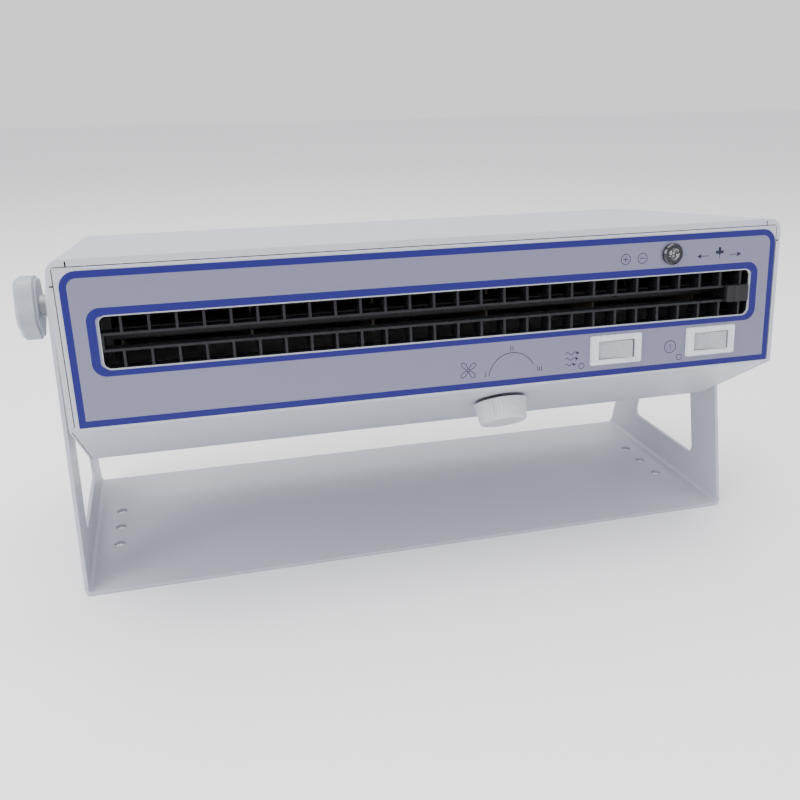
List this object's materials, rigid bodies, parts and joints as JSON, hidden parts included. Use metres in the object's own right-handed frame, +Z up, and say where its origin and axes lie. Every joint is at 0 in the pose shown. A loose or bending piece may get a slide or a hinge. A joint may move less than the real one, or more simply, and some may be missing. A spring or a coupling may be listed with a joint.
{
  "type": "ionizing blower",
  "caption": "Bench ionizing blower: a wide slot-outlet sheet-metal head that tilts between the arms of a folded stand, with rocker switches, a speed knob and a sliding point cleaner.",
  "frame": {"origin": "centre of the underside of the stand's base, which rests on the bench", "axes": "+X along the outlet to the right of someone facing it, +Y from the outlet to the back, +Z up"},
  "size_m": [0.548, 0.2468, 0.2412],
  "materials": {
    "painted_steel": "pale grey powder coat",
    "overlay_film": "silver printed film with blue borders",
    "black_moulding": "glossy black",
    "black_nylon": "matt black",
    "clamp_plastic": "pale grey moulding",
    "stud_steel": "turned and knurled",
    "zinc_sheet": "zinc plated sheet",
    "screw_steel": "nickel plated",
    "shaft_steel": "ground steel",
    "bristle": "stiff fibre",
    "emitter_moulding": "dark insulator",
    "needle": "ground tungsten",
    "bearing_rubber": "black rubber",
    "impeller_sheet": "dark anodised",
    "motor_paint": "grey enamel",
    "mica": "pressed mica",
    "heater_wire": "coiled resistance wire",
    "cutout_body": "black phenolic",
    "switch_rim": "white",
    "switch_key": "milky white",
    "knob_plastic": "white, fluted",
    "lamp_metal": "black chrome",
    "lamp_clear": "clear",
    "board": "green laminate with parts",
    "post_nylon": "natural nylon",
    "potting": "black potted block",
    "filter_foam": "open foam",
    "pin_metal": "plated"
  },
  "bodies": {
    "stand": {"stand_bracket": "painted_steel"},
    "head": {"spacer_left": "black_nylon", "spacer_right": "black_nylon", "top_cover": "painted_steel", "chassis": "painted_steel", "rear_panel": "painted_steel", "side_screws": "screw_steel", "rear_screws": "screw_steel", "nut_plate_left": "zinc_sheet", "nut_plate_right": "zinc_sheet", "front_overlay": "overlay_film", "outlet_grille": "black_moulding", "emitter_bar": "emitter_moulding", "emitter_points": "needle", "emitter_brackets": "emitter_moulding", "scroll_wall": "zinc_sheet", "duct_floor": "zinc_sheet", "fan_plate_left": "zinc_sheet", "fan_plate_right": "zinc_sheet", "duct_cheek": "zinc_sheet", "fan_bearing": "bearing_rubber", "fan_motor": "motor_paint", "motor_screws": "screw_steel", "heater_cards": "mica", "heater_coils": "heater_wire", "thermal_cutout": "cutout_body", "warm_switch": "switch_rim", "power_switch": "switch_rim", "speed_regulator": "cutout_body", "regulator_nut": "screw_steel", "lamp_holder": "lamp_metal", "lamp_lens": "lamp_clear", "control_board": "board", "board_posts": "post_nylon", "hv_transformer": "potting", "intake_filter": "filter_foam", "filter_frame": "zinc_sheet", "power_inlet": "black_nylon", "inlet_pins": "pin_metal", "fuse_holder": "black_nylon"},
    "fan_rotor": {"impeller": "impeller_sheet", "fan_shafts": "shaft_steel"},
    "left_clamp": {"clamp_knob_left": "clamp_plastic", "clamp_stud_left": "stud_steel"},
    "right_clamp": {"clamp_knob_right": "clamp_plastic", "clamp_stud_right": "stud_steel"},
    "speed_control": {"speed_knob": "knob_plastic", "regulator_shaft": "shaft_steel"},
    "point_cleaner": {"cleaner_slider": "black_moulding", "cleaner_brush": "bristle"},
    "warm_key": {"warm_rocker": "switch_key"},
    "power_key": {"power_rocker": "switch_key"}
  },
  "joints": [
    {"name": "head_tilt", "type": "hinge", "parent": "stand", "child": "head", "pos_m": [0, 0, 0.184], "axis": [1, 0, 0], "range_deg": [-84, 96]},
    {"name": "fan_spin", "type": "hinge", "parent": "head", "child": "fan_rotor", "pos_m": [0, -0.0136, 0.15024], "axis": [1, 0, 0], "continuous": true},
    {"name": "left_clamp_turn", "type": "hinge", "parent": "head", "child": "left_clamp", "pos_m": [-0.25, 0, 0.184], "axis": [-1, 0, 0], "range_deg": [0, 360]},
    {"name": "right_clamp_turn", "type": "hinge", "parent": "head", "child": "right_clamp", "pos_m": [0.25, 0, 0.184], "axis": [1, 0, 0], "range_deg": [0, 360]},
    {"name": "speed_turn", "type": "hinge", "parent": "head", "child": "speed_control", "pos_m": [0.0416, -0.12161, 0.12534], "axis": [0, 0.5464, 0.8375], "range_deg": [-50, 130]},
    {"name": "cleaner_slide", "type": "slide", "parent": "head", "child": "point_cleaner", "axis": [-1, 0, 0], "range_m": [0, 0.4036]},
    {"name": "warm_press", "type": "hinge", "parent": "head", "child": "warm_key", "pos_m": [0.1135, -0.1441, 0.16194], "axis": [0, 0.1045, 0.9945], "range_deg": [0, 18]},
    {"name": "power_press", "type": "hinge", "parent": "head", "child": "power_key", "pos_m": [0.1848, -0.1441, 0.16194], "axis": [0, 0.1045, 0.9945], "range_deg": [0, 18]}
  ]
}
